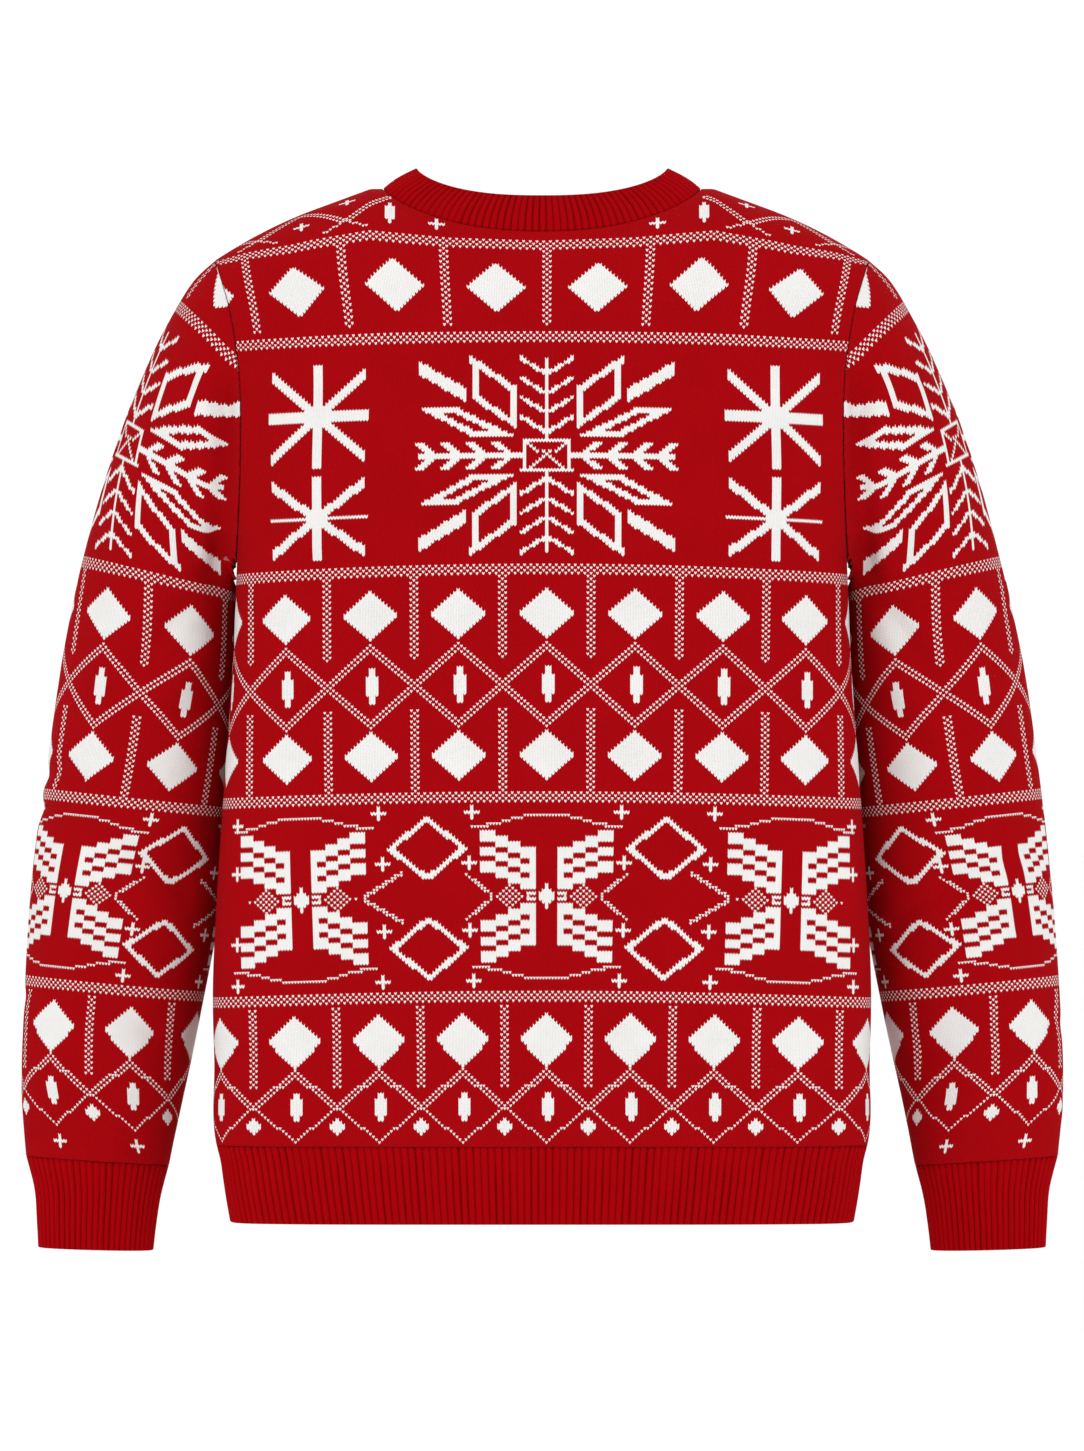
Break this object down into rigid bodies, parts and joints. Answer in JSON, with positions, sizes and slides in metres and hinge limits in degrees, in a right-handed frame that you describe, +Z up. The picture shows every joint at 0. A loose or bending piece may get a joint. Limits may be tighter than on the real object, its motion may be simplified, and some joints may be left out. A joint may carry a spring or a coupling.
{
  "type": "christmas sweater",
  "caption": "Red and white patterned knitted crew-neck sweater with ribbed neck, hem and cuffs, filled out as if worn, hollow and open at neck, hem and cuffs.",
  "frame": {"origin": "middle of the neck base, level with the top of the shoulder seams, where the wearer holds the sweater", "axes": "+Z up the body, -Y towards the sweater's back, +X towards the wearer's right sleeve"},
  "size_m": [0.69, 0.1901, 0.716],
  "materials": {
    "jacquard": "plain knit of red wool with white figures",
    "rib": "ribbed knit of red wool"
  },
  "bodies": {
    "root": {"back_panel": "jacquard", "front_panel": "jacquard", "sleeve_left": "jacquard", "sleeve_right": "jacquard", "neckband": "rib", "hem_rib_back": "rib", "hem_rib_front": "rib", "cuff_left": "rib", "cuff_right": "rib"}
  },
  "joints": []
}
